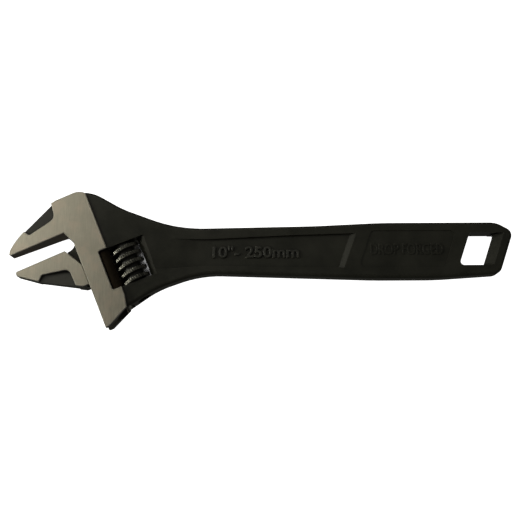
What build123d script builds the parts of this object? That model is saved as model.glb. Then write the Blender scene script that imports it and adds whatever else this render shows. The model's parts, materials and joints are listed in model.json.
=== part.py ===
"""Adjustable wrench, 250 mm (10 in) nominal, in five pieces.

Row frame: the wrench lies flat, +X runs along the handle to its hanging hole, +Z is up.
Head frame: u runs along the jaws, from the tips to the worm, and v across them, from the movable jaw
to the fixed jaw. (0, 0) is where the fixed jaw's face meets the slide. Heights start at mid thickness.
"""
import os
from math import ceil, cos, floor, radians, sin, sqrt

from build123d import *

# ---------------------------------------------------------------- driving dimensions, mm
HEAD_ANGLE = 22.5                # jaws to handle, degrees
MID_Z = 7.754                    # mid thickness above the surface that the wrench lies on
JAW_ROOT = (-97.392, 14.546)     # head frame origin in the row frame
HANDLE_SHIFT = (-0.492, 0.246)   # outline points of the handle to the row frame

FACE_HALF = 6.5                  # half thickness of the ground faces at u = 0
FACE_TAPER = 0.088               # growth of that half thickness per mm of u
HEAD_HALF = 6.8                  # half thickness of the black part of the head
HANDLE_HALF = 4.5                # half thickness of the handle
RELIEF_HALF = 3.0                # half thickness in the jaws' side reliefs

JAW_LENGTH = 32.8                # slide face to jaw tips
REST_GAP = 9.0                   # opening of the jaws at rest
SLIDE_BOTTOM = -53.5             # lower end of the slide face
SLIDE_FOOT_U = 2.0               # where the head's lower edge starts to rise
SLIDE_FOOT_SLOPE = 0.48
HEAD_FOOT_U = 13.3               # where the lower edge meets the handle's

RAIL_U = 11.3                    # axis of the rail and its bore
RAIL_R = 5.6
RAIL_TOP, RAIL_BOTTOM = 4.5, -38.0
RAIL_CHAMFER = 0.5
JAW_BACK_PLAY = 0.12             # between the movable jaw's back and the slide
BORE_R = 5.68
BORE_TOP = 14.3
WEB_HALF = 2.6
WEB_TOP, WEB_BOTTOM = -6.5, -31.0
SLOT_HALF = 2.75
SLOT_TOP = 3.0
SLOT_LEFT = -3.2                 # the slot runs on into the fixed jaw's root

WINDOW_LEFT, WINDOW_RIGHT = 9.9, 30.1
WINDOW_TOP, WINDOW_BOTTOM = -16.1, -37.4
THUMB_BEVEL_HEIGHT = 1.7         # where the bevel on the window's handle side starts
THUMB_BEVEL_RUN = 6.0            # it rises this far, at 45 degrees
THUMB_BEVEL_INSIDE = 2.0         # how far its cutter starts inside the window

WORM_U = 22.3                    # axis of the worm and its pin
WORM_R, WORM_ROOT_R = 7.3, 5.0
WORM_PITCH = 4.2
WORM_TOP, WORM_BOTTOM = -16.5, -37.1
WORM_CREST_V = -20.1             # v of a thread crest on the rail's side
CREST_WIDTH, THREAD_FOOT_WIDTH = 1.5, 2.7
MESH_PLAY = 0.2                  # side play of the thread in the rack
MESH_DEPTH_PLAY = 0.3
THREAD_FOOT_R = 4.7              # the thread's sweep starts below the core's surface

RACK_ROOT_U = WORM_U - WORM_R - MESH_DEPTH_PLAY
RACK_CUT_U = RAIL_U + RAIL_R + 1.0
RACK_CUT_HALF = 7.0
RACK_LEAN = 0.106                # v per height, the thread's lead angle at its middle radius
RACK_CUT_LENGTH = 2 * RACK_CUT_HALF * sqrt(1 + RACK_LEAN**2)

PIN_R, PIN_HOLE_R, WORM_BORE_R = 2.4, 2.45, 2.5
PIN_HEAD_R, PIN_HEAD_HOLE_R = 3.4, 3.45
PIN_HEAD_LENGTH = 5.0
PIN_TOP, PIN_BOTTOM = -8.2, -45.0
PIN_HOLE_TOP = -8.0
PIN_END_PLAY = 0.05
SCREW_SLOT_WIDTH, SCREW_SLOT_DEPTH = 1.0, 1.3

SPRING_WIRE_R, SPRING_R = 0.35, 3.35
SPRING_POCKET_R, SPRING_POCKET_DEPTH = 4.1, 5.0
SPRING_TURNS = 4
SPRING_END_PLAY = 0.05

PANEL_HALF = 3.2                 # half thickness at the long panel's floor
PANEL_END, PANEL_END_RUN = 41.0, 2.8     # x of the long panel's end wall at y = 0, and its run
NAME_PANEL_DEPTH = 0.4
END_SLANT = 0.36                 # x per y of the handle's end, its hole and its panels' ends
HOLE_CORNER_R = 1.8
LEAD_IN_HEIGHT, LEAD_IN_SLOPE, LEAD_IN_WIDTH = 0.3, 1.1, 17.6
LEAD_IN_INSIDE = 4.0             # how far its cutter starts inside the hole

WINDOW_CORNER_R = 1.0
EDGE_BREAK = 0.35                # worn edge of the ground faces
GROUND_FACE_AREA = 100.0         # mm2, smaller faces aren't ground

TALL = 30.0                      # cutters that pass through the whole thickness
LONG = 80.0                      # cutters that pass through the whole head

UPWARDS = (Align.CENTER, Align.CENTER, Align.MIN)
DOWNWARDS = (Align.CENTER, Align.CENTER, Align.MAX)

# ---------------------------------------------------------------- frames
TILT = radians(HEAD_ANGLE)
U_AXIS = (cos(TILT), sin(TILT), 0)
V_AXIS = (-sin(TILT), cos(TILT), 0)
DOWN_SLIDE = (sin(TILT), -cos(TILT), 0)
RACK_DIRECTION = (-sin(TILT) * RACK_LEAN, cos(TILT) * RACK_LEAN, 1)
SLANT_DOWN = (-END_SLANT, -1, 0)
LEAD_IN_ORIGIN = (119.34, 13.15, MID_Z)
PANEL_SIDE_ORIGIN = (END_SLANT * LONG, LONG, MID_Z)


def head_point(u, v, height=0.0):
    """Row frame point of head frame (u, v)."""
    return Vector(
        JAW_ROOT[0] + u * cos(TILT) - v * sin(TILT),
        JAW_ROOT[1] + u * sin(TILT) + v * cos(TILT),
        MID_Z + height,
    )


def handle_point(x, y):
    """Row frame point of a handle outline point."""
    return (x + HANDLE_SHIFT[0], y + HANDLE_SHIFT[1])


def flat_head_point(u, v):
    """Head frame (u, v) as an outline point in the row frame."""
    point = head_point(u, v)
    return (point.X, point.Y)


UNDER = Plane(origin=(0, 0, MID_Z - TALL / 2))
MID_PLANE = Plane(origin=(0, 0, MID_Z))
HEAD_UNDER = Plane(origin=head_point(0, 0, -TALL / 2), x_dir=U_AXIS, z_dir=(0, 0, 1))
HANDLE_SIDE = Plane(origin=(0, LONG / 2, MID_Z), x_dir=(1, 0, 0), z_dir=(0, -1, 0))


def head_side(v):
    """Plane of u and height at v, facing down the slide."""
    return Plane(origin=head_point(0, v), x_dir=U_AXIS, z_dir=DOWN_SLIDE)


def across_slide(u, v):
    """Plane square to v with its origin on (u, v), for round things that run along the slide."""
    return Plane(origin=head_point(u, v), x_dir=U_AXIS, z_dir=V_AXIS)


def face_half(u):
    """Half thickness of the ground faces at u."""
    return FACE_HALF + FACE_TAPER * u


def slide_foot_v(u):
    """v of the head's slanted lower edge at u."""
    return SLIDE_BOTTOM + SLIDE_FOOT_SLOPE * (u - SLIDE_FOOT_U)


def thread_half_width(radius):
    """Half width of the worm's thread at a radius."""
    slope = (THREAD_FOOT_WIDTH - CREST_WIDTH) / (WORM_R - WORM_ROOT_R)
    return (CREST_WIDTH + slope * (WORM_R - radius)) / 2


def groove_half_width(u):
    """Half width of a rack groove at u."""
    return thread_half_width(WORM_U - u) + MESH_PLAY


def rack_groove_centres():
    """v of each rack groove at rest, with those that only reach in over the rail's ends."""
    reach = groove_half_width(RACK_CUT_U) + RACK_LEAN * RACK_CUT_HALF
    first = ceil((RAIL_BOTTOM - reach - WORM_CREST_V) / WORM_PITCH)
    last = floor((RAIL_TOP + reach - WORM_CREST_V) / WORM_PITCH)
    return [WORM_CREST_V + WORM_PITCH * step for step in range(first, last + 1)]


def is_ground_face(face):
    """True for the two tapered faces that are ground bright."""
    return abs(face.normal_at().Z) > 0.99 and face.area > GROUND_FACE_AREA


# ---------------------------------------------------------------- the ground faces' wedge
WEDGE_LEFT, WEDGE_RIGHT = -36.0, 20.0
with BuildPart() as ground_wedge:
    with BuildSketch(head_side(LONG)):
        Polygon(
            (WEDGE_LEFT, -face_half(WEDGE_LEFT)),
            (WEDGE_RIGHT, -face_half(WEDGE_RIGHT)),
            (WEDGE_RIGHT, face_half(WEDGE_RIGHT)),
            (WEDGE_LEFT, face_half(WEDGE_LEFT)),
            align=None,
        )
    extrude(amount=2 * LONG)

# ---------------------------------------------------------------- fixed jaw and slide, ground all over
with BuildPart() as window_cutter:
    with BuildSketch(HEAD_UNDER):
        with Locations((WINDOW_LEFT, WINDOW_TOP)):
            Rectangle(
                WINDOW_RIGHT - WINDOW_LEFT,
                WINDOW_TOP - WINDOW_BOTTOM,
                align=(Align.MIN, Align.MAX),
            )
    extrude(amount=TALL)
    fillet(window_cutter.edges().filter_by(Axis.Z), radius=WINDOW_CORNER_R)

with BuildPart() as fixed_relief:
    with BuildSketch(HEAD_UNDER.offset(TALL / 2 + RELIEF_HALF)):
        with BuildLine():
            inner = FilletPolyline(
                (-22.6, 10.6),
                (-19.8, 6.2),
                (-4.6, 9.1),
                (-3.2, 22.0),
                radius=(1.3, 4.0),
            )
            Polyline(inner @ 1, (-22.6, 22.0), inner @ 0)
        make_face()
    extrude(amount=TALL)

with BuildPart() as fixed_jaw:
    with BuildSketch(HEAD_UNDER):
        with BuildLine():
            Polyline(
                (14.6, -42.0),
                (HEAD_FOOT_U, slide_foot_v(HEAD_FOOT_U)),
                (SLIDE_FOOT_U, SLIDE_BOTTOM),
                (0, SLIDE_BOTTOM),
                (0, -6.6),
                (-3.0, 0),
                (-JAW_LENGTH + 0.6, 0),
                (-JAW_LENGTH, 0.8),
                (-31.6, 2.8),
            )
            ThreePointArc((-31.6, 2.8), (-27.0, 6.3), (-21.4, 9.2))
            Polyline((-21.4, 9.2), (-3.9, 17.35), (-1.2, 17.8), (8.5, 17.8))
            ThreePointArc((8.5, 17.8), (11.6, 17.2), (14.6, 15.1))
            Line((14.6, 15.1), (14.6, -42.0))
        make_face()
    extrude(amount=TALL)
    add(ground_wedge.part, mode=Mode.INTERSECT)
    add(window_cutter.part, mode=Mode.SUBTRACT)
    add(fixed_relief.part, mode=Mode.SUBTRACT)
    add(fixed_relief.part.mirror(MID_PLANE), mode=Mode.SUBTRACT)
    ground_faces = fixed_jaw.faces().filter_by(is_ground_face)
    chamfer(ground_faces.edges(), length=EDGE_BREAK)

# ---------------------------------------------------------------- black forging: head, neck and handle
FORGING_LEFT = 5.0                       # u where it ends, inside the ground block
NECK_START, NECK_END = -78.0, -46.0      # the head's thickness runs down to the handle's between these
SIDE_LEFT, SIDE_RIGHT = -105.0, 132.0
NECK_SIDE_R = 80.0
RIM_R = 1.6

# corner and rounding radius of each stretch, from the head's top round the handle's end
HANDLE_CORNERS = (
    ((-89.6, 36.9), 18.0),
    ((-70.3, 25.9), 60.0),
    ((-41.9, 15.7), 80.0),
    ((27.8, 16.9), 400.0),
    ((61.7, 18.5), 300.0),
    ((120.9, 18.5), 12.0),
    ((129.4, 13.6), 4.0),
    ((121.4, -8.4), 5.0),
    ((89.0, -10.5), 150.0),
    ((58.0, -10.5), 300.0),
    ((-29.9, -7.6), 60.0),
    ((-52.1, -15.4), 50.0),
)

with BuildPart() as forging:
    with BuildSketch(UNDER):
        with BuildLine():
            outline = FilletPolyline(
                flat_head_point(FORGING_LEFT, 17.6),
                *[handle_point(*corner) for corner, _ in HANDLE_CORNERS],
                flat_head_point(HEAD_FOOT_U, slide_foot_v(HEAD_FOOT_U)),
                flat_head_point(FORGING_LEFT, slide_foot_v(FORGING_LEFT)),
                radius=[radius for _, radius in HANDLE_CORNERS] + [10.0],
            )
            Line(outline @ 1, outline @ 0)
        make_face()
    extrude(amount=TALL)
    with BuildSketch(HANDLE_SIDE):
        with BuildLine():
            neck = FilletPolyline(
                (SIDE_LEFT, HEAD_HALF),
                (NECK_START, HEAD_HALF),
                (NECK_END, HANDLE_HALF),
                (SIDE_RIGHT, HANDLE_HALF),
                radius=NECK_SIDE_R,
            )
            Polyline(neck @ 1, (SIDE_RIGHT, 0), (SIDE_LEFT, 0), neck @ 0)
        make_face()
        mirror(about=Plane.XZ)
    extrude(amount=LONG, mode=Mode.INTERSECT)
    rim = []
    for side in forging.faces().filter_by(lambda face: abs(face.normal_at().Z) < 0.1):
        for edge in side.edges():
            run = edge @ 1 - edge @ 0
            if Vector(run.X, run.Y).length > 0.3 and side.normal_at().dot(Vector(*U_AXIS)) > -0.99:
                rim.append(edge)
    fillet(rim, radius=RIM_R)

# ---------------------------------------------------------------- recesses of the handle
with BuildPart() as long_panel:
    with BuildSketch(MID_PLANE):
        with BuildLine():
            lip = FilletPolyline(
                handle_point(-68.0, 11.2),
                handle_point(-28.0, 9.9),
                handle_point(18.0, 12.0),
                handle_point(52.0, 12.9),
                handle_point(46.4, -5.0),
                handle_point(12.0, -4.9),
                handle_point(-26.0, -3.8),
                handle_point(-68.0, -6.6),
                radius=(150.0, 200.0, 2.0, 2.0, 300.0, 150.0),
            )
            Line(lip @ 1, lip @ 0)
        make_face()
    extrude(amount=TALL)
    with BuildSketch(Plane(origin=PANEL_SIDE_ORIGIN, x_dir=(1, 0, 0), z_dir=(0, -1, 0))):
        with BuildLine():
            panel_floor = FilletPolyline(
                (-70.0, 6.4),
                (-34.0, PANEL_HALF),
                (PANEL_END, PANEL_HALF),
                (PANEL_END + 3 * PANEL_END_RUN, HANDLE_HALF + 2 * (HANDLE_HALF - PANEL_HALF)),
                radius=(150.0, 0.8),
            )
            Polyline(
                panel_floor @ 1,
                (PANEL_END + 3 * PANEL_END_RUN, TALL),
                (-70.0, TALL),
                panel_floor @ 0,
            )
        make_face()
    extrude(amount=2 * LONG, dir=SLANT_DOWN, mode=Mode.INTERSECT)

with BuildPart() as name_panel:
    with BuildSketch(MID_PLANE.offset(HANDLE_HALF - NAME_PANEL_DEPTH)):
        with BuildLine():
            FilletPolyline(
                handle_point(56.5, 14.2),
                handle_point(99.9, 14.2),
                handle_point(93.3, -5.2),
                handle_point(49.8, -5.2),
                close=True,
                radius=2.5,
            )
        make_face()
    extrude(amount=TALL)

with BuildPart() as hanging_hole:
    with BuildSketch(UNDER):
        with BuildLine():
            FilletPolyline(
                handle_point(106.9, 13.1),
                handle_point(120.1, 13.1),
                handle_point(113.9, -4.0),
                handle_point(100.7, -4.0),
                close=True,
                radius=HOLE_CORNER_R,
            )
        make_face()
    extrude(amount=TALL)

# sloping lead-in on the end side of the hole, on both faces
with BuildPart() as hole_lead_in:
    with BuildSketch(Plane(origin=LEAD_IN_ORIGIN, x_dir=(1, 0, 0), z_dir=(0, -1, 0))):
        Polygon(
            (-LEAD_IN_INSIDE, LEAD_IN_HEIGHT),
            (0.0, LEAD_IN_HEIGHT),
            (LEAD_IN_SLOPE * TALL, LEAD_IN_HEIGHT + TALL),
            (-LEAD_IN_INSIDE, LEAD_IN_HEIGHT + TALL),
            align=None,
        )
    extrude(amount=LEAD_IN_WIDTH, dir=SLANT_DOWN)

# ---------------------------------------------------------------- body
os.makedirs("parts", exist_ok=True)

with BuildPart() as body:
    add(forging.part)
    add(window_cutter.part, mode=Mode.SUBTRACT)
    add(fixed_jaw.part)
    for recess in (long_panel.part, name_panel.part, hole_lead_in.part):
        add(recess, mode=Mode.SUBTRACT)
        add(recess.mirror(MID_PLANE), mode=Mode.SUBTRACT)
    add(hanging_hole.part, mode=Mode.SUBTRACT)
    # bore and slot of the rail, open at the lower end of the slide
    with BuildSketch(across_slide(RAIL_U, BORE_TOP - LONG)):
        Circle(BORE_R)
    extrude(amount=LONG, mode=Mode.SUBTRACT)
    with BuildSketch(across_slide(0, SLOT_TOP - LONG)):
        with Locations((SLOT_LEFT, 0)):
            Rectangle(RAIL_U - SLOT_LEFT, 2 * SLOT_HALF, align=(Align.MIN, Align.CENTER))
    extrude(amount=LONG, mode=Mode.SUBTRACT)
    # hole of the worm's pin, tapped at its wide end
    with BuildSketch(across_slide(WORM_U, PIN_HOLE_TOP - LONG)):
        Circle(PIN_HOLE_R)
    extrude(amount=LONG, mode=Mode.SUBTRACT)
    with BuildSketch(across_slide(WORM_U, PIN_BOTTOM + PIN_HEAD_LENGTH - LONG)):
        Circle(PIN_HEAD_HOLE_R)
    extrude(amount=LONG, mode=Mode.SUBTRACT)
    # thumb bevel on the window's handle side
    with BuildSketch(head_side(WINDOW_TOP)):
        Polygon(
            (WINDOW_RIGHT - THUMB_BEVEL_INSIDE, THUMB_BEVEL_HEIGHT),
            (WINDOW_RIGHT, THUMB_BEVEL_HEIGHT),
            (WINDOW_RIGHT + THUMB_BEVEL_RUN, THUMB_BEVEL_HEIGHT + THUMB_BEVEL_RUN),
            (WINDOW_RIGHT - THUMB_BEVEL_INSIDE, THUMB_BEVEL_HEIGHT + THUMB_BEVEL_RUN),
            align=None,
        )
        mirror(about=Plane.XZ)
    extrude(amount=WINDOW_TOP - WINDOW_BOTTOM, mode=Mode.SUBTRACT)
body.part.label = "body"
export_step(body.part, "parts/body.step")

# ---------------------------------------------------------------- movable jaw with its web and rail
with BuildPart() as jaw_relief:
    with BuildSketch(HEAD_UNDER.offset(TALL / 2 + RELIEF_HALF)):
        with BuildLine():
            inner = FilletPolyline(
                (-25.6, -20.6),
                (-20.7, -15.8),
                (-6.9, -18.6),
                (-6.1, -36.0),
                radius=(1.3, 3.5),
            )
            Polyline(inner @ 1, (-25.6, -36.0), inner @ 0)
        make_face()
    extrude(amount=TALL)

with BuildPart() as jaw_block:
    with BuildSketch(HEAD_UNDER):
        Polygon(
            (-5.8, -REST_GAP),
            (-4.9, -10.3),
            (-JAW_BACK_PLAY, -19.1),
            (-JAW_BACK_PLAY, -29.7),
            (-3.4, -29.7),
            (-23.7, -18.1),
            (-JAW_LENGTH, -11.2),
            (-JAW_LENGTH, -9.7),
            (-JAW_LENGTH + 0.6, -REST_GAP),
            align=None,
        )
    extrude(amount=TALL)
    add(ground_wedge.part, mode=Mode.INTERSECT)
    add(jaw_relief.part, mode=Mode.SUBTRACT)
    add(jaw_relief.part.mirror(MID_PLANE), mode=Mode.SUBTRACT)
    ground_faces = jaw_block.faces().filter_by(is_ground_face)
    chamfer(ground_faces.edges(), length=EDGE_BREAK)

with BuildPart() as movable_jaw:
    with BuildSketch(across_slide(RAIL_U, RAIL_BOTTOM)):
        Circle(RAIL_R)
    extrude(amount=RAIL_TOP - RAIL_BOTTOM)
    chamfer(movable_jaw.edges().filter_by(GeomType.CIRCLE), length=RAIL_CHAMFER)
    with BuildSketch(HEAD_UNDER.offset(TALL / 2 - WEB_HALF)):
        with BuildLine():
            ThreePointArc((-5.0, -REST_GAP - 0.2), (-2.2, -REST_GAP + 0.4), (0, WEB_TOP))
            Polyline(
                (0, WEB_TOP),
                (RAIL_U, WEB_TOP),
                (RAIL_U, WEB_BOTTOM),
                (0, WEB_BOTTOM),
                (-5.0, -28.0),
                (-5.0, -REST_GAP - 0.2),
            )
        make_face()
    extrude(amount=2 * WEB_HALF)
    add(jaw_block.part)
    # rack teeth, leaning with the worm's thread
    for groove_v in rack_groove_centres():
        with BuildSketch(HEAD_UNDER.offset(TALL / 2 - RACK_CUT_HALF)):
            with Locations((0, groove_v - RACK_LEAN * RACK_CUT_HALF)):
                Polygon(
                    (RACK_ROOT_U, -groove_half_width(RACK_ROOT_U)),
                    (RACK_CUT_U, -groove_half_width(RACK_CUT_U)),
                    (RACK_CUT_U, groove_half_width(RACK_CUT_U)),
                    (RACK_ROOT_U, groove_half_width(RACK_ROOT_U)),
                    align=None,
                )
        extrude(amount=RACK_CUT_LENGTH, dir=RACK_DIRECTION, mode=Mode.SUBTRACT)
movable_jaw.part.label = "movable_jaw"
export_step(movable_jaw.part, "parts/movable_jaw.step")

# ---------------------------------------------------------------- worm
WORM_LENGTH = WORM_TOP - WORM_BOTTOM
# the thread passes the rail's side half a turn after its start, so it starts half a pitch lower
THREAD_START = (WORM_CREST_V - WORM_PITCH / 2 - WORM_BOTTOM) % WORM_PITCH - 2 * WORM_PITCH
THREAD_LENGTH = WORM_LENGTH + 4 * WORM_PITCH

with BuildPart() as worm_at_origin:
    with BuildLine():
        thread_path = Helix(
            pitch=WORM_PITCH,
            height=THREAD_LENGTH,
            radius=WORM_R,
            center=(0, 0, THREAD_START),
        )
    with BuildSketch(Plane(origin=(0, 0, THREAD_START), x_dir=(1, 0, 0), z_dir=(0, -1, 0))):
        Polygon(
            (THREAD_FOOT_R, -thread_half_width(THREAD_FOOT_R)),
            (WORM_R, -thread_half_width(WORM_R)),
            (WORM_R, thread_half_width(WORM_R)),
            (THREAD_FOOT_R, thread_half_width(THREAD_FOOT_R)),
            align=None,
        )
    sweep(path=thread_path, is_frenet=True)
    with Locations((0, 0, THREAD_START - WORM_PITCH)):
        Cylinder(WORM_ROOT_R, THREAD_LENGTH + 2 * WORM_PITCH, align=UPWARDS)
    # both ends are faced off square
    Cylinder(2 * WORM_R, THREAD_LENGTH, align=DOWNWARDS, mode=Mode.SUBTRACT)
    with Locations((0, 0, WORM_LENGTH)):
        Cylinder(2 * WORM_R, THREAD_LENGTH, align=UPWARDS, mode=Mode.SUBTRACT)
        CounterBoreHole(
            radius=WORM_BORE_R,
            counter_bore_radius=SPRING_POCKET_R,
            counter_bore_depth=SPRING_POCKET_DEPTH,
            depth=THREAD_LENGTH,
        )

with BuildPart() as worm:
    add(worm_at_origin.part.moved(across_slide(WORM_U, WORM_BOTTOM).location))
worm.part.label = "worm"
export_step(worm.part, "parts/worm.step")

# ---------------------------------------------------------------- pin and spring
with BuildPart() as worm_pin:
    with BuildSketch(across_slide(WORM_U, PIN_BOTTOM)):
        Circle(PIN_R)
    extrude(amount=PIN_TOP - PIN_BOTTOM)
    with BuildSketch(across_slide(WORM_U, PIN_BOTTOM)):
        Circle(PIN_HEAD_R)
    extrude(amount=PIN_HEAD_LENGTH - PIN_END_PLAY)
    with BuildSketch(across_slide(WORM_U, PIN_BOTTOM)):
        Rectangle(SCREW_SLOT_WIDTH, 4 * PIN_HEAD_R)
    extrude(amount=SCREW_SLOT_DEPTH, mode=Mode.SUBTRACT)
worm_pin.part.label = "worm_pin"
export_step(worm_pin.part, "parts/worm_pin.step")

SPRING_BOTTOM = WORM_TOP - SPRING_POCKET_DEPTH + SPRING_WIRE_R + SPRING_END_PLAY
SPRING_TOP = WINDOW_TOP - SPRING_WIRE_R - SPRING_END_PLAY
SPRING_HEIGHT = SPRING_TOP - SPRING_BOTTOM

with BuildPart() as spring_at_origin:
    with BuildLine():
        Helix(pitch=SPRING_HEIGHT / SPRING_TURNS, height=SPRING_HEIGHT, radius=SPRING_R)
    with BuildSketch(Plane.XZ):
        with Locations((SPRING_R, 0)):
            Circle(SPRING_WIRE_R)
    sweep(is_frenet=True)

with BuildPart() as worm_spring:
    add(spring_at_origin.part.moved(across_slide(WORM_U, SPRING_BOTTOM).location))
worm_spring.part.label = "worm_spring"
export_step(worm_spring.part, "parts/worm_spring.step")
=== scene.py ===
"""Looks of the adjustable wrench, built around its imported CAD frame. Metres, row frame."""
import json
import math

import bmesh
import bpy
import numpy as np
from mathutils import Matrix, Vector


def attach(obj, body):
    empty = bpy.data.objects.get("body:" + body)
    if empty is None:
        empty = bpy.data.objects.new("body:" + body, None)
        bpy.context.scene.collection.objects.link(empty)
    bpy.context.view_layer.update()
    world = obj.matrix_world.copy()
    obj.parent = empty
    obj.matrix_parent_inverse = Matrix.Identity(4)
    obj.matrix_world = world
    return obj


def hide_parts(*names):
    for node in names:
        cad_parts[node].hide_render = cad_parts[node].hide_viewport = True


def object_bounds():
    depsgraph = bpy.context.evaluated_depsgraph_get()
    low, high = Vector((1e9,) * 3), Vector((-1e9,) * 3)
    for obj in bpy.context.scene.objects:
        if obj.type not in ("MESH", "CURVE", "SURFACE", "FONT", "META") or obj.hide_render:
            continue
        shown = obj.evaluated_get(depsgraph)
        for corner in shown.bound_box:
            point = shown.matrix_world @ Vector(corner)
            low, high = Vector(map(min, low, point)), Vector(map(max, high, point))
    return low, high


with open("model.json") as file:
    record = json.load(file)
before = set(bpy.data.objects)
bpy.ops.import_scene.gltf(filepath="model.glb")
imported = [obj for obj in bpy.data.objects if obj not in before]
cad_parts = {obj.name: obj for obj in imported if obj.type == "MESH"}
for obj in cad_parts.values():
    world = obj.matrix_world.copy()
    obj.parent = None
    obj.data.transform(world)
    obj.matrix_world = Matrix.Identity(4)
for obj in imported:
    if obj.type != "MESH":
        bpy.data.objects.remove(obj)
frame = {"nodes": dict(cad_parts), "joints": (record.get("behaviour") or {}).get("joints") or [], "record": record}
cad_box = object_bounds()
MM = 0.001

# ---------------------------------------------------------------- places, from the frame
record = frame["record"]
joints = {joint["name"]: joint for joint in frame["joints"]}
mounts = {mount["name"]: mount for mount in record["mounts"]}
Z_AXIS = Vector((0, 0, 1))
V_AXIS = Vector(joints["worm_spin"]["axis"]).normalized()
U_AXIS = V_AXIS.cross(Z_AXIS).normalized()
JAW_FACE = Vector(mounts["fixed_jaw_face"]["pos_m"])
WORM_POINT = Vector(joints["worm_spin"]["pos_m"])
MID_Z = JAW_FACE.z
JAW_FACE_U = -17.6 * MM                  # u of the fixed jaw's mount
HEAD_ORIGIN = JAW_FACE - U_AXIS * JAW_FACE_U
WORM_U = (WORM_POINT - HEAD_ORIGIN).dot(U_AXIS)
GROUND_HALF, GROUND_TAPER = 6.5 * MM, 0.088
RELIEF_HALF = 3.0 * MM
REST_GAP = (JAW_FACE - Vector(mounts["movable_jaw_face"]["pos_m"])).dot(V_AXIS)
JAW_BACK_U = -0.12 * MM
RAIL_U, RAIL_R = 11.3 * MM, 5.6 * MM
GROUND_RIGHT_U = 14.7 * MM
PANEL_FLOOR, NAME_FLOOR = 3.2 * MM, 4.1 * MM     # heights of the panels' floors above mid thickness
HANDLE_SHIFT = Vector((-0.492, 0.246, 0)) * MM


# ---------------------------------------------------------------- materials
# colour of the painted shade that the black coat takes in its corners and creases
CORNER_SHADE = (0.002, 0.002, 0.0015)
STAIN_WARMTH = (1.04, 0.93, 0.91)        # of the red, green and blue of a ground face's pale tone


class Nodes:
    """Short way to add and join the nodes of one material."""

    def __init__(self, name):
        self.material = bpy.data.materials.new(name)
        self.material.use_nodes = True
        self.tree = self.material.node_tree
        self.shader = self.tree.nodes["Principled BSDF"]

    def add(self, kind, inputs=None, **settings):
        node = self.tree.nodes.new(kind)
        for key, value in settings.items():
            setattr(node, key, value)
        for key, value in (inputs or {}).items():
            if isinstance(value, bpy.types.NodeSocket):
                self.tree.links.new(value, node.inputs[key])
            else:
                node.inputs[key].default_value = value
        return node

    def join(self, socket, name):
        self.tree.links.new(socket, self.shader.inputs[name])

    def place(self, scale=(1, 1, 1), turn=0.0):
        where = self.add("ShaderNodeTexCoord").outputs["Object"]
        return self.add(
            "ShaderNodeMapping",
            {"Vector": where, "Scale": scale, "Rotation": (0, 0, turn)},
        ).outputs["Vector"]

    def noise(self, vector, scale, detail=4.0, roughness=0.55):
        return self.add(
            "ShaderNodeTexNoise",
            {"Vector": vector, "Scale": scale, "Detail": detail, "Roughness": roughness},
        ).outputs["Fac"]

    def ramp(self, value, stops):
        node = self.add("ShaderNodeValToRGB", {"Fac": value})
        elements = node.color_ramp.elements
        while len(elements) < len(stops):
            elements.new(0.5)
        for element, (place, colour) in zip(elements, stops):
            element.position = place
            element.color = (*colour, 1.0)
        return node.outputs["Color"]

    def rescale(self, value, source, result):
        """Value from the source pair of limits to the result pair, clamped."""
        return self.add(
            "ShaderNodeMapRange",
            {"Value": value, "From Min": source[0], "From Max": source[1],
             "To Min": result[0], "To Max": result[1]},
        ).outputs["Result"]

    def spread(self, value, low, high):
        """Noise, which mostly lies from 0.3 to 0.7, as low to high."""
        return self.rescale(value, (0.3, 0.7), (low, high))

    def open_air(self, distance, samples):
        """1 where nothing is within the distance, less in corners and gaps."""
        return self.add(
            "ShaderNodeAmbientOcclusion", {"Distance": distance}, samples=samples
        ).outputs["AO"]

    def mix(self, amount, first, second):
        node = self.add("ShaderNodeMix", data_type="RGBA")
        self.tree.links.new(amount, node.inputs[0])
        for index, value in ((6, first), (7, second)):
            if isinstance(value, bpy.types.NodeSocket):
                self.tree.links.new(value, node.inputs[index])
            else:
                node.inputs[index].default_value = (*value, 1.0)
        return node.outputs[2]

    def bump(self, height, distance, strength=1.0):
        node = self.add(
            "ShaderNodeBump", {"Height": height, "Distance": distance, "Strength": strength}
        )
        self.join(node.outputs["Normal"], "Normal")

    def edge_wear_and_highlight(self, radius, wear_and_highlight, whole):
        """1 on sharp edges, where the rounded and true normals match less than the first limit, and 0 above the
        second; marks edges for rubbed wear and a painted highlight.
        """
        rounded = self.add("ShaderNodeBevel", {"Radius": radius}, samples=6).outputs["Normal"]
        true = self.add("ShaderNodeNewGeometry").outputs["True Normal"]
        match = self.add(
            "ShaderNodeVectorMath", {0: rounded, 1: true}, operation="DOT_PRODUCT"
        ).outputs["Value"]
        return self.rescale(match, (whole, wear_and_highlight), (0.0, 1.0))


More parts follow.
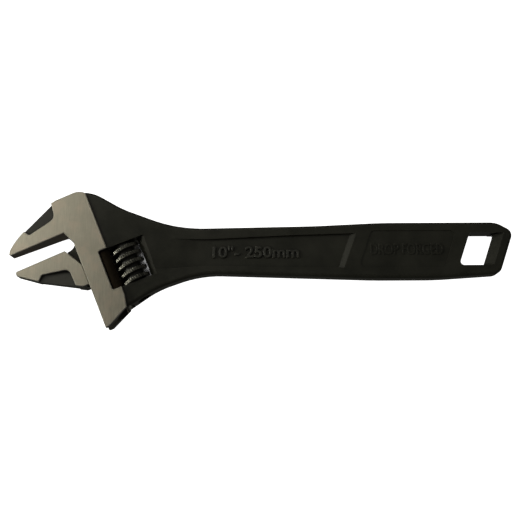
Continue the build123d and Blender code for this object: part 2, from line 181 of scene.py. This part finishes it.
def black_phosphate(name, dark=(0.016, 0.0165, 0.0120), pale=(0.037, 0.0370, 0.0290),
                    specular=0.36, rubbed_and_lit=(0.075, 0.073, 0.060)):
    """Matt black coat: clouded, with painted shade darkening the corners, and lighter on the edges from rubbed
    wear and a painted highlight.
    """
    nodes = Nodes(name)
    nodes.shader.inputs["Metallic"].default_value = 0.0
    nodes.shader.inputs["Specular IOR Level"].default_value = specular
    cloud = nodes.noise(nodes.place(), 85.0, 5.0)
    speck = nodes.noise(nodes.place(), 2100.0, 3.0)
    body = nodes.ramp(cloud, ((0.32, dark), (0.68, pale)))
    speckled = nodes.mix(nodes.spread(speck, 0.0, 0.35), body, pale)
    # edges made lighter: partly rubbed wear, partly painted highlight
    wear_and_highlight = nodes.edge_wear_and_highlight(0.25 * MM, 0.74, 0.95)
    # painted shade: the coat darkens where little open air is found, in corners and creases
    corner_shade_mask = nodes.rescale(nodes.open_air(2.2 * MM, 4), (0.35, 0.85), (0.8, 0.0))
    corner_shaded = nodes.mix(corner_shade_mask, speckled, CORNER_SHADE)
    nodes.join(nodes.mix(wear_and_highlight, corner_shaded, rubbed_and_lit), "Base Color")
    nodes.join(nodes.spread(speck, 0.36, 0.52), "Roughness")
    nodes.bump(nodes.noise(nodes.place(), 1500.0, 4.0, 0.6), 0.035 * MM, 0.55)
    return nodes.material


def ground_metal(name, dark, pale, edge, low_rough=0.3, high_rough=0.42):
    """Surface ground across the jaws: fine lines along v, with faint warm stains."""
    nodes = Nodes(name)
    nodes.shader.inputs["Metallic"].default_value = 1.0
    turn = -math.atan2(U_AXIS.y, U_AXIS.x)
    lines = nodes.noise(nodes.place((2600.0, 70.0, 2600.0), turn), 1.0, 5.0, 0.65)
    cloud = nodes.noise(nodes.place(), 95.0, 5.0, 0.6)
    tone = nodes.ramp(lines, ((0.3, dark), (0.7, pale)))
    dull = nodes.mix(nodes.spread(cloud, 0.0, 0.75), tone, dark)
    stain = nodes.noise(nodes.place(), 120.0, 4.0, 0.6)
    stain_mask = nodes.rescale(stain, (0.47, 0.62), (0.0, 0.38))
    warm = tuple(part * warmth for part, warmth in zip(pale, STAIN_WARMTH))
    stained = nodes.mix(stain_mask, dull, warm)
    # sharp edges take the pale edge colour: partly wear, partly painted highlight
    nodes.join(nodes.mix(nodes.edge_wear_and_highlight(0.5 * MM, 0.88, 0.985), stained, edge), "Base Color")
    nodes.join(nodes.spread(lines, low_rough, high_rough), "Roughness")
    nodes.bump(lines, 0.012 * MM, 0.5)
    return nodes.material


def turned_metal(name, dark, pale, roughness=0.34):
    """Bare steel, slightly uneven in tone and shine."""
    nodes = Nodes(name)
    nodes.shader.inputs["Metallic"].default_value = 1.0
    cloud = nodes.noise(nodes.place(), 420.0, 4.0)
    nodes.join(nodes.ramp(cloud, ((0.3, dark), (0.7, pale))), "Base Color")
    nodes.join(nodes.spread(cloud, roughness - 0.06, roughness + 0.1), "Roughness")
    nodes.bump(nodes.noise(nodes.place(), 3800.0, 3.0), 0.008 * MM, 0.5)
    return nodes.material


BLACK = black_phosphate("black_phosphate")
# the letters' edges are made much lighter: rubbed wear and a painted highlight
LETTER_BLACK = black_phosphate(
    "letters_rubbed_and_highlighted", (0.018, 0.018, 0.014), (0.040, 0.040, 0.032), 0.7, (0.24, 0.235, 0.20)
)
GROUND = ground_metal("ground_steel", (0.45, 0.42, 0.352), (0.63, 0.59, 0.500), (0.85, 0.82, 0.74))
# painted highlight: a paler copy of the ground steel for the breaks beside the ground faces, bright from any side
EDGE_STEEL_PAINTED_HIGHLIGHT = ground_metal(
    "ground_edge_painted_highlight", (0.62, 0.59, 0.52), (0.80, 0.77, 0.69), (0.92, 0.89, 0.82), 0.42, 0.55
)
RELIEF_BLACK = black_phosphate("relief_black", (0.042, 0.041, 0.036), (0.072, 0.070, 0.062), 0.6)
# painted shade: the movable jaw's rail, seen down in the worm window, gets a very dark copy of the ground steel
RAIL_SHADED_STEEL = ground_metal("rail_painted_shade", (0.030, 0.023, 0.016), (0.055, 0.043, 0.031), (0.13, 0.105, 0.08))
# painted shade: the jaws' gripping faces get a dark copy of the ground steel
JAW_FACE_SHADED_STEEL = ground_metal(
    "jaw_face_painted_shade", (0.095, 0.080, 0.058), (0.165, 0.140, 0.105), (0.34, 0.30, 0.24)
)
WORM_BLACK = black_phosphate("worm_black", (0.012, 0.012, 0.011), (0.032, 0.031, 0.027), 0.5)
WORM_CREST = turned_metal("worm_crest", (0.07, 0.07, 0.062), (0.27, 0.265, 0.235), 0.27)
PIN = turned_metal("pin_steel", (0.13, 0.12, 0.10), (0.25, 0.24, 0.21))
WIRE = turned_metal("spring_steel", (0.20, 0.19, 0.17), (0.36, 0.35, 0.32), 0.28)


# ---------------------------------------------------------------- CAD faces by finish
HEAD_FINISHES = (BLACK, GROUND, EDGE_STEEL_PAINTED_HIGHLIGHT, JAW_FACE_SHADED_STEEL, RELIEF_BLACK)
BLACK_FACE, GROUND_FACE, PAINTED_HIGHLIGHT_EDGE_FACE, GRIP_FACE, RELIEF_FACE, RAIL_FACE = range(6)
SQUARE = 0.99                            # part of the normal along an axis that the face is square to
LEANING = (0.3, 0.95)                    # the same for the z axis, on the breaks beside a ground face
CLOSE = 0.05 * MM
EDGE_DEPTH = 0.42 * MM                   # how far below a ground face its breaks reach
RAIL_START_U = 0.2 * MM
RAIL_ALLOWANCE = 0.1 * MM


def head_faces(obj):
    """(u, v, height, normal along u, v and z) of each face, as arrays."""
    count = len(obj.data.polygons)
    centre, normal = np.zeros(count * 3), np.zeros(count * 3)
    obj.data.polygons.foreach_get("center", centre)
    obj.data.polygons.foreach_get("normal", normal)
    centre = centre.reshape(-1, 3) - np.array(HEAD_ORIGIN)
    normal = normal.reshape(-1, 3)
    u_axis, v_axis = np.array(U_AXIS), np.array(V_AXIS)
    return (
        centre @ u_axis, centre @ v_axis, centre[:, 2],
        normal @ u_axis, normal @ v_axis, normal[:, 2],
    )


def set_materials(obj, materials, index=None):
    obj.data.materials.clear()
    for material in materials:
        obj.data.materials.append(material)
    if index is not None:
        obj.data.polygons.foreach_set("material_index", index.astype(np.int32))
    obj.data.update()


def head_finish(obj, jaw_v, back_u):
    """Finish of each face, as an index into HEAD_FINISHES, with the faces' u and height."""
    u, v, height, along_u, along_v, along_z = head_faces(obj)
    half = GROUND_HALF + GROUND_TAPER * u
    in_block = u < GROUND_RIGHT_U
    lean = np.abs(along_z)
    finish = np.full(len(u), BLACK_FACE)
    near_face = in_block & (half - np.abs(height) < EDGE_DEPTH)
    # the breaks beside a ground face take the painted highlight steel
    finish[near_face & (lean > LEANING[0]) & (lean < LEANING[1])] = PAINTED_HIGHLIGHT_EDGE_FACE
    # the ground faces taper along u, which sets them apart from the level black ones
    finish[in_block & (lean > SQUARE) & (along_u < -0.05) & (np.abs(along_v) < 0.02)] = GROUND_FACE
    on_relief = np.abs(np.abs(height) - RELIEF_HALF) < CLOSE
    finish[(u < 0) & on_relief & (lean > SQUARE)] = RELIEF_FACE
    finish[(np.abs(v - jaw_v) < CLOSE) & (np.abs(along_v) > SQUARE) & (u < 0)] = GRIP_FACE
    finish[(np.abs(u - back_u) < CLOSE) & (np.abs(along_u) > SQUARE)] = GROUND_FACE
    return finish, u, height


body, jaw = frame["nodes"]["body"], frame["nodes"]["movable_jaw"]
set_materials(body, HEAD_FINISHES, head_finish(body, 0.0, 0.0)[0])
jaw_finish, jaw_u, jaw_height = head_finish(jaw, -REST_GAP, JAW_BACK_U)
on_rail = (jaw_u > RAIL_START_U) & (np.hypot(jaw_u - RAIL_U, jaw_height) < RAIL_R + RAIL_ALLOWANCE)
jaw_finish[on_rail] = RAIL_FACE
set_materials(jaw, (*HEAD_FINISHES, RAIL_SHADED_STEEL), jaw_finish)
set_materials(frame["nodes"]["worm_pin"], (PIN,))
set_materials(frame["nodes"]["worm_spring"], (WIRE,))

# ---------------------------------------------------------------- worm with knurled crests
WORM_R, WORM_ROOT_R = 7.3 * MM, 5.0 * MM
PITCH = 4.2 * MM
CREST_HALF, FOOT_HALF = 0.75 * MM, 1.35 * MM
CREST_V = -20.1 * MM                     # a crest on the rail's side
WORM_TOP, WORM_BOTTOM = -16.5 * MM, -37.1 * MM
BORE_R, POCKET_R, POCKET_DEPTH = 2.5 * MM, 4.1 * MM, 5.0 * MM
KNURLS, KNURL_DEPTH = 34, 0.28 * MM
KNURL_LEAN = 4.0                         # radians that the knurls turn by over one pitch
KNURL_START = 0.75                       # share of the thread's rise where the knurls begin
CREST_REACH = 1.3                        # bare steel down to this many knurl depths
SMOOTH_BELOW = math.radians(38)
AROUND, ALONG = 408, 190


def worm_radius(angle, v):
    """Outer radius of the worm at an angle from +u and at v."""
    crest = CREST_V + PITCH * (angle - math.pi) / (2 * math.pi)
    off = np.abs((v - crest + PITCH / 2) % PITCH - PITCH / 2)
    rise = np.clip((FOOT_HALF - off) / (FOOT_HALF - CREST_HALF), 0.0, 1.0)
    rise = rise * rise * (3 - 2 * rise)
    cut = 0.5 + 0.5 * np.cos(KNURLS * angle + (v - crest) / PITCH * KNURL_LEAN)
    on_crest = np.clip((rise - KNURL_START) / (1 - KNURL_START), 0.0, 1.0)
    return WORM_ROOT_R + (WORM_R - WORM_ROOT_R) * rise - KNURL_DEPTH * cut**2 * on_crest


angles = np.arange(AROUND) * 2 * math.pi / AROUND
levels = np.linspace(WORM_BOTTOM, WORM_TOP, ALONG)
grid_a, grid_v = np.meshgrid(angles, levels, indexing="ij")
outer = worm_radius(grid_a, grid_v)
inner_rings = (
    (POCKET_R, WORM_TOP), (POCKET_R, WORM_TOP - POCKET_DEPTH),
    (BORE_R, WORM_TOP - POCKET_DEPTH), (BORE_R, WORM_BOTTOM),
)
radii = np.hstack([outer] + [np.full((AROUND, 1), r) for r, _ in inner_rings])
heights = np.hstack([grid_v] + [np.full((AROUND, 1), v) for _, v in inner_rings])
RINGS = radii.shape[1]
along_u = WORM_U + radii * np.cos(angles)[:, None]
up = -radii * np.sin(angles)[:, None]
points = (
    np.array(HEAD_ORIGIN) + along_u[..., None] * np.array(U_AXIS)
    + heights[..., None] * np.array(V_AXIS) + up[..., None] * np.array(Z_AXIS)
).reshape(-1, 3)
faces, crest_faces = [], []
for a in range(AROUND):
    b = (a + 1) % AROUND
    for k in range(RINGS):
        n = (k + 1) % RINGS
        faces.append((a * RINGS + k, b * RINGS + k, b * RINGS + n, a * RINGS + n))
        crest_faces.append(k < ALONG - 1 and outer[a, k] > WORM_R - CREST_REACH * KNURL_DEPTH)
worm_mesh = bpy.data.meshes.new("worm_knurled")
worm_mesh.from_pydata(points.tolist(), [], faces)
worm_mesh.validate()
worm = bpy.data.objects.new("worm_knurled", worm_mesh)
bpy.context.scene.collection.objects.link(worm)
set_materials(worm, (WORM_BLACK, WORM_CREST), np.array(crest_faces, dtype=int))
worm_mesh.shade_smooth()
worm_mesh.set_sharp_from_angle(angle=SMOOTH_BELOW)
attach(worm, "worm")
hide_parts("worm")


# ---------------------------------------------------------------- raised lettering
WELD = 0.001 * MM                        # joins the shells that a text curve's mesh is made of
SUNK = 0.15 * MM                         # the letters' feet start inside the panel floor


def lettering(name, text, centre_x, centre_y, width, height, floor, rise, side, steel):
    """Raised text on a panel floor, on the upper (1) or lower (-1) side of the handle."""
    curve = bpy.data.curves.new(name, "FONT")
    curve.body = text
    curve.align_x, curve.align_y = "CENTER", "CENTER"
    curve.extrude = 0.03
    curve.bevel_depth = 0.032
    curve.bevel_resolution = 2
    curve.offset = -0.004
    source = bpy.data.objects.new(name + "_source", curve)
    mesh = bpy.data.meshes.new_from_object(source)
    bpy.data.objects.remove(source)
    co = np.zeros(len(mesh.vertices) * 3)
    mesh.vertices.foreach_get("co", co)
    co = co.reshape(-1, 3)
    low, high = co.min(0), co.max(0)
    unit = (co - (low + high) / 2) / (high - low)
    x = unit[:, 0] * width
    y = unit[:, 1] * height
    z = floor - SUNK + (unit[:, 2] + 0.5) * (rise + SUNK)
    if side < 0:
        y, z = -y, -z
    placed = np.stack((centre_x + HANDLE_SHIFT.x + x, centre_y + HANDLE_SHIFT.y + y, MID_Z + z), 1)
    mesh.vertices.foreach_set("co", placed.ravel())
    welded = bmesh.new()
    welded.from_mesh(mesh)
    bmesh.ops.remove_doubles(welded, verts=welded.verts, dist=WELD)
    bmesh.ops.recalc_face_normals(welded, faces=welded.faces)
    welded.to_mesh(mesh)
    welded.free()
    mesh.update()
    obj = bpy.data.objects.new(name, mesh)
    bpy.context.scene.collection.objects.link(obj)
    set_materials(obj, (steel,), np.zeros(len(mesh.polygons)))
    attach(obj, "body")


for side, word in ((1, "upper"), (-1, "lower")):
    lettering("size_mark_" + word, '10"- 250mm', -2.0 * MM, 3.4 * MM, 44 * MM, 6.2 * MM,
              PANEL_FLOOR, 0.85 * MM, side, LETTER_BLACK)
    lettering("forging_mark_" + word, "DROP FORGED", 74.6 * MM, 4.5 * MM, 37 * MM, 6.0 * MM,
              NAME_FLOOR, 0.34 * MM, side, BLACK)

# ---------------------------------------------------------------- floor, light and camera
FLOOR_SIZE, BACKDROP_HEIGHT = 6.0, 4.0
GAP_REACH, GAP_RAYS = 8 * MM, 32         # few rays make a narrow gap speckled, not dark
SHUT_GAP, OPEN_GAP = 0.24, 0.36          # open air where the floor is darkened as a painted shadow, and where it is white
GAP_SHADOW_GLOW, OPEN_GLOW = 0.01, 1.25
GAP_SHADOW_TONE = (0.01, 0.01, 0.01)
bpy.ops.mesh.primitive_plane_add(size=FLOOR_SIZE, location=(0, 0, cad_box[0][2]))
floor = bpy.context.object
floor.name = "floor"
paper = Nodes("white_paper")
paper.shader.inputs["Roughness"].default_value = 0.9
paper.shader.inputs["Specular IOR Level"].default_value = 0.0
paper.shader.inputs["Emission Color"].default_value = (1, 1, 1, 1)
# painted shadow: the floor's glow and colour drop to dark in narrow gaps that the wrench closes in
floor_glow_and_gap_shadow = paper.rescale(
    paper.open_air(GAP_REACH, GAP_RAYS), (SHUT_GAP, OPEN_GAP), (GAP_SHADOW_GLOW, OPEN_GLOW)
)
paper_tone = paper.ramp(
    paper.noise(paper.place(), 6.0), ((0.2, (0.93, 0.93, 0.93)), (0.8, (0.96, 0.96, 0.96)))
)
paper.join(floor_glow_and_gap_shadow, "Emission Strength")
paper.join(paper.mix(floor_glow_and_gap_shadow, GAP_SHADOW_TONE, paper_tone), "Base Color")
floor.data.materials.append(paper.material)
floor.visible_diffuse = False
floor.visible_glossy = False

# paper all round, which low angles see behind the wrench
bpy.ops.mesh.primitive_cylinder_add(
    radius=FLOOR_SIZE / 2, depth=BACKDROP_HEIGHT, vertices=96, end_fill_type="NOTHING",
    location=(0, 0, cad_box[0][2] + BACKDROP_HEIGHT / 2),
)
backdrop = bpy.context.object
backdrop.name = "backdrop"
backdrop_paper = Nodes("backdrop_paper")
backdrop_tone = backdrop_paper.ramp(
    backdrop_paper.noise(backdrop_paper.place(), 0.8), ((0.2, (0.97, 0.97, 0.97)), (0.8, (1.0, 1.0, 1.0)))
)
backdrop_paper.join(backdrop_tone, "Base Color")
backdrop_paper.join(backdrop_tone, "Emission Color")
backdrop_paper.shader.inputs["Roughness"].default_value = 0.9
backdrop_paper.shader.inputs["Emission Strength"].default_value = 1.0
backdrop.data.materials.append(backdrop_paper.material)
backdrop.visible_diffuse = False
backdrop.visible_glossy = False
backdrop.visible_shadow = False

world = bpy.data.worlds.new("studio")
bpy.context.scene.world = world
world.use_nodes = True
world.node_tree.nodes["Background"].inputs["Color"].default_value = (1.0, 0.985, 0.88, 1)
world.node_tree.nodes["Background"].inputs["Strength"].default_value = 0.085

WARM = (1.0, 0.985, 0.86)


def softbox(name, place, size, power):
    """Square area light, aimed at the origin."""
    light = bpy.data.lights.new(name, "AREA")
    light.color = WARM
    light.shape, light.size, light.energy = "SQUARE", size, power
    obj = bpy.data.objects.new(name, light)
    bpy.context.scene.collection.objects.link(obj)
    obj.location = place
    obj.rotation_euler = (-Vector(place)).to_track_quat("-Z", "Y").to_euler()


softbox("left_softbox", (-0.75, 0.30, 0.75), 0.5, 1.2)
softbox("back_softbox", (-0.20, 0.75, 0.95), 0.5, 0.75)
softbox("rake_light", (-1.0, 0.05, 0.42), 0.16, 2.9)

CAMERA_TILT, CAMERA_ROLL = math.radians(12.6), math.radians(-0.25)
CAMERA_DISTANCE, LENS, SENSOR_WIDTH = 0.400, 54.14, 36.0
centre = (Vector(cad_box[0]) + Vector(cad_box[1])) / 2
target = Vector((centre.x, centre.y, MID_Z)) + HANDLE_SHIFT
back = Vector((0, -math.sin(CAMERA_TILT), math.cos(CAMERA_TILT)))
right = (-back).cross(Vector((0, 1, 0))).normalized()
top = right.cross(-back)
rolled_right = right * math.cos(CAMERA_ROLL) + top * math.sin(CAMERA_ROLL)
rolled_top = -right * math.sin(CAMERA_ROLL) + top * math.cos(CAMERA_ROLL)
camera_data = bpy.data.cameras.new("camera")
camera_data.lens, camera_data.sensor_width = LENS, SENSOR_WIDTH
camera_data.clip_start = 0.01
camera = bpy.data.objects.new("camera", camera_data)
bpy.context.scene.collection.objects.link(camera)
turn = Matrix((rolled_right, rolled_top, back)).transposed().to_4x4()
camera.matrix_world = Matrix.Translation(target + back * CAMERA_DISTANCE) @ turn
bpy.context.scene.camera = camera
bpy.context.scene.view_settings.view_transform = "Standard"
